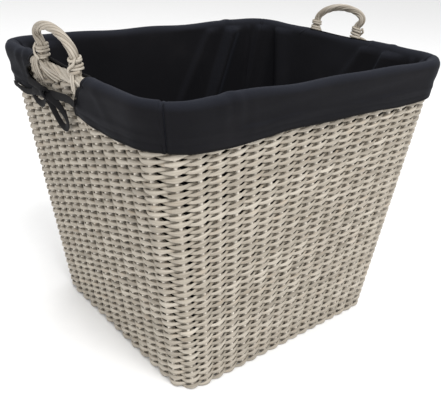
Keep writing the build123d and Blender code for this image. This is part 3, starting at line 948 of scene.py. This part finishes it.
def cut_folds(u, spread, depth, part, cuts):
    """A pleat beside each cut edge, the stitching along it, and the hem drawn in by the ties."""
    outer = part >= 1
    fold, pinch = np.zeros_like(spread), 0.0
    for first, last in cuts.values():
        pinch = pinch + bump_at(u, first, 0.9) + bump_at(u, last, 0.9)
        for edge, away in ((first, -1), (last, 1)):
            pleat = edge + away * (1.1 + 1.4 * depth)
            fold += outer * 0.0014 * bump_at(spread, pleat, 0.35) * (1 - 0.8 * depth)
            fold -= outer * 0.0009 * bump_at(u, edge + away * 0.16, 0.04)
    return fold - TIE_PINCH * pinch * smooth_step(depth, 0.4, 1) * (part == 2)


def cloth_grid():
    """Every point of the sack's sides and the cuff, as rows by columns, with the folds pressed in."""
    u, cuts = cloth_columns()
    profile = cloth_profile()
    z, out, depth, part = (profile[:, i, None] for i in range(4))
    climb = np.clip((z - border_z) / ROLL_RISE, 0, 1)
    over = (part == 1) * np.sin(np.pi * climb / 2) + (part == 2)
    spread = spread_columns(u, cuts, profile, over)
    lift, push = rim_gathers(spread, z, depth, part)
    fold = cuff_folds(spread, z, depth, part) + sack_folds(spread, z, part) + push
    fold += cut_folds(u, spread, depth, part, cuts)
    sag = wander(spread, (5.7, 9.8, 17), 0.0022, 27) * smooth_step(depth, 0.1, 1) * (part == 2)
    return wall_point(spread, z + lift + sag, out + fold), u, cuts, profile[:, 3]


def close_floor(cloth):
    """Triangles from the smallest ring of the sack's floor to its middle."""
    shape = bmesh.new()
    shape.from_mesh(cloth.data)
    open_edges = [edge for edge in shape.edges if edge.is_boundary]
    ring = [edge for edge in open_edges if edge.verts[0].co.to_2d().length < 0.02]
    middle = shape.verts.new((0, 0, sum(edge.verts[0].co.z for edge in ring) / len(ring)))
    for edge in ring:
        corner = edge.link_loops[0]
        face = shape.faces.new((corner.link_loop_next.vert, corner.vert, middle))
        face.smooth = True
    shape.to_mesh(cloth.data)
    shape.free()


def floor_grid(foot):
    """The sack's floor: its foot drawn in ring by ring towards the middle, and crumpled."""
    shares = np.linspace(0.04, 1, 22)
    floor = foot[None] * np.stack([shares, shares, np.ones_like(shares)], axis=1)[:, None]
    floor[..., 2] = sack_floor + 0.0012 + SACK_FOOT * smooth_step(shares, 0.93, 1)[:, None]
    crumple = wander(floor[..., 0] + 0.5 * floor[..., 1], (0.09, 0.17), 0.0007, 31)
    crumple += wander(floor[..., 1] - 0.4 * floor[..., 0], (0.07, 0.21), 0.0007, 32)
    floor[..., 2] += (crumple + 0.0012) * smooth_step(1 - shares, 0.0, 0.1)[:, None]
    return floor[:-1]


def build_piping(path, side, name):
    """The bound edge of a cut-out."""
    piping = Rods(sides=8)
    piping.add(softened(resampled(path, 160), 4), (side, 0, 0.4), 0.0019, 0.0019, 0.0)
    piping.build(f"{name}_cutout_binding", "liner", tape, "tape", f"{name}_cutout_piping")


def build_liner():
    grid, u, cuts, part = cloth_grid()
    floor = floor_grid(grid[0])
    sheet = np.concatenate([floor, grid])
    columns = sheet.shape[1]
    points = sheet.reshape(-1, 3)
    row, column = np.meshgrid(np.arange(len(sheet) - 1), np.arange(columns), indexing="ij")
    here, after = row * columns + column, row * columns + (column + 1) % columns
    quads = np.stack([here, after, after + columns, here + columns], axis=-1)
    top_row = len(floor) + int((part == 0).sum()) + NOTCH_ROWS
    keep = np.ones(row.shape, bool)
    edge_paths = {}
    for side, (first, last) in cuts.items():
        begin, end = np.searchsorted(u, (first - 1e-6, last - 1e-6))
        keep &= ~((row >= top_row) & (column >= begin) & (column < end))
        up, down = sheet[top_row:, begin][::-1], sheet[top_row:, end]
        edge_paths[side] = np.concatenate([up, sheet[top_row, begin + 1 : end], down])
    quads = quads[keep].reshape(-1, 4)
    used = np.unique(quads)
    renumber = np.zeros(len(points), int)
    renumber[used] = np.arange(len(used))
    liner = new_object("liner_cloth", points[used], renumber[quads], "liner", canvas)
    close_floor(liner)
    thick = liner.modifiers.new("thickness", "SOLIDIFY")
    thick.thickness = CLOTH_THICKNESS
    thick.offset = 0
    panels = [f"liner_{panel}_panel" for panel in ("base", "front", "rear", "left", "right")]
    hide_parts(*panels)
    build_piping(edge_paths[-1], -1, "left")
    build_piping(edge_paths[1], 1, "right")
    build_hem_roll(sheet[-1], u, cuts)


def build_hem_roll(hem, u, cuts):
    """The hem's turned edge, a soft roll along the bottom of the cuff."""
    starts = {}
    for side, (first, last) in cuts.items():
        starts[side] = np.searchsorted(u, (first - 1e-6, last - 1e-6))
    front_span = np.arange(starts[-1][1] - len(u), starts[1][0] + 1)
    rear_span = np.arange(starts[1][1], starts[-1][0] + 1)
    roll = Rods(sides=8)
    for span in (front_span, rear_span):
        roll.add(hem[span] + (0, 0, 0.0004), (0, 0, 1), 0.0022, 0.0014, 0.0)
    roll.build("liner_hem_roll", "liner", tape, "liner")


# ---- ties ----------------------------------------------------------------------------------------
RIBBON_HALF_THICK = 0.00075


def ribbon(rods, side, places, width, twist):
    """A ribbon lying against the wall through places (y, z, out), smoothed into a curve."""
    rough = softened(resampled(np.asarray(places, float), 60), 30)
    u = side_u(side, rough[:, 0], border_z)
    path = wall_point(u, rough[:, 1], rough[:, 2])
    tangent = unit(np.gradient(path, axis=0))
    outward = wall_normal(u, rough[:, 1])
    flat = np.cross(tangent, outward)
    lean = twist * np.linspace(-1, 1, len(path))[:, None]
    face = unit(flat * np.cos(lean) + outward * np.sin(lean))
    rods.add(path, face, width / 2, RIBBON_HALF_THICK, 0.0)


FRONT_STRAP = ((-0.050, 0.441), (-0.030, 0.444), (0.008, 0.4395), (0.043, 0.435))
FRONT_LOOP = (
    (0.043, 0.435),
    (0.040, 0.420),
    (0.033, 0.400),
    (0.023, 0.388),
    (0.010, 0.386),
    (-0.005, 0.397),
    (-0.010, 0.413),
    (0.004, 0.428),
    (0.043, 0.436),
)
REAR_STRAP = ((0.102, 0.442), (0.076, 0.441), (0.043, 0.435))
REAR_LOOP = (
    (0.043, 0.435),
    (0.060, 0.416),
    (0.078, 0.408),
    (0.100, 0.411),
    (0.110, 0.422),
    (0.088, 0.430),
    (0.043, 0.436),
)
REAR_TAIL = ((0.043, 0.435), (0.088, 0.427), (0.134, 0.416), (0.180, 0.420))


def lifted(places, *lifts):
    """Adds how far a ribbon stands off the stakes, given at its ends and between."""
    share = np.linspace(0, 1, len(places))
    out = np.interp(share, np.linspace(0, 1, len(lifts)), lifts)
    return np.column_stack([np.array(places), WALL_THICKNESS / 2 + 0.003 + out])


def build_knot(side, y, z, out):
    """Two turns of ribbon drawn tight across each other."""
    knot = Rods(sides=10)
    turn = np.linspace(0, 2 * np.pi, 40)
    for tilt, radius, rise in ((0.25, 0.0056, 0.0), (-0.5, 0.0048, 0.0015)):
        across = y + radius * np.sin(turn) * np.cos(tilt) * 0.7 + 0.002 * np.sin(2 * turn)
        up = z + rise + radius * 1.25 * np.cos(turn)
        proud = out + 0.0042 * np.sin(turn) + 0.001
        path = wall_point(side_u(side, across, border_z), up, proud)
        knot.add(path, (0, 1, 0.15), 0.0052, 0.0017, 0.0, closed=True)
    return knot


def build_ties():
    for side, name in ((-1, "left"), (1, "right")):
        front = Rods(sides=10)
        strap = lifted(FRONT_STRAP, 0.008, 0.005, 0.006)
        ribbon(front, side, strap, width=0.012, twist=-0.1)
        loop = lifted(FRONT_LOOP, 0.008, 0.003, 0.002, 0.006, 0.009)
        ribbon(front, side, loop, width=0.0115, twist=-0.55)
        rear = Rods(sides=10)
        ribbon(rear, side, lifted(REAR_STRAP, 0.008, 0.006), width=0.012, twist=0.1)
        loop = lifted(REAR_LOOP, 0.008, 0.005, 0.004, 0.007, 0.009)
        ribbon(rear, side, loop, width=0.011, twist=0.3)
        tail = lifted(REAR_TAIL, 0.008, 0.007, 0.005, 0.004)
        ribbon(rear, side, tail, width=0.0095, twist=0.2)
        knot = build_knot(side, *FRONT_STRAP[-1], WALL_THICKNESS / 2 + 0.011)
        front.build(f"{name}_front_ribbon", "liner", tape, "tape", f"{name}_front_tie")
        rear.build(f"{name}_rear_ribbon", "liner", tape, "tape", f"{name}_rear_tie")
        knot.build(f"{name}_ribbon_knot", "liner", tape, "tape", f"{name}_tie_knot")


# ---- stage ---------------------------------------------------------------------------------------
FLOOR_REACH = 60.0
WORLD_STRENGTH = 0.84


def build_floor():
    """A pale flat floor, wide enough to fill the background as well."""
    mesh = bpy.data.meshes.new("floor")
    corners = ((-1, -1), (1, -1), (1, 1), (-1, 1))
    places = [(x * FLOOR_REACH, y * FLOOR_REACH, 0) for x, y in corners]
    mesh.from_pydata(places, [], [(0, 1, 2, 3)])
    mesh.materials.append(floor_material())
    floor = bpy.data.objects.new("floor", mesh)
    bpy.context.scene.collection.objects.link(floor)


def add_light(name, place, aim, size, power):
    data = bpy.data.lights.new(name, "AREA")
    data.shape = "DISK"
    data.size = size
    data.energy = power
    light = bpy.data.objects.new(name, data)
    light.location = place
    light.rotation_euler = (Vector(aim) - Vector(place)).to_track_quat("-Z", "Y").to_euler()
    bpy.context.scene.collection.objects.link(light)


def light_studio():
    middle = (0, 0, 0.25)
    add_light("key", (-0.6, -2.4, 3.4), middle, 1.8, 110)
    add_light("side", (-3.2, -0.9, 1.6), middle, 2.4, 14)
    add_light("top", (0.6, 0.8, 3.4), middle, 3.0, 30)
    world = bpy.data.worlds.new("studio")
    world.use_nodes = True
    background = world.node_tree.nodes["Background"].inputs
    background["Color"].default_value = (1, 1, 1, 1)
    background["Strength"].default_value = WORLD_STRENGTH
    bpy.context.scene.world = world
    bpy.context.scene.view_settings.view_transform = "Standard"


def aim_camera():
    """Three-quarter view from the front left, a little above the rim."""
    azimuth, elevation, roll = np.radians((-40.60, 25.26, 3.14))
    distance, focal_length, target = 1.350, 48.51, np.array([0.1399, 0.1609, 0.0973])
    level_back = np.array([np.sin(azimuth), -np.cos(azimuth), 0]) * np.cos(elevation)
    back = level_back + (0, 0, np.sin(elevation))
    level = unit(np.cross(-back, (0, 0, 1)))
    upright = np.cross(level, -back)
    right = np.cos(roll) * level + np.sin(roll) * upright
    up = np.cos(roll) * upright - np.sin(roll) * level
    data = bpy.data.cameras.new("camera")
    data.lens = focal_length
    camera = bpy.data.objects.new("camera", data)
    turned = Matrix(np.stack([right, up, back], axis=1)).to_4x4()
    camera.matrix_world = Matrix.Translation(Vector(target + back * distance)) @ turned
    bpy.context.scene.collection.objects.link(camera)
    bpy.context.scene.camera = camera


build_wall()
build_stakes()
build_border()
build_base()
build_handle("left", -1)
build_handle("right", 1)
build_liner()
build_ties()
build_floor()
light_studio()
aim_camera()
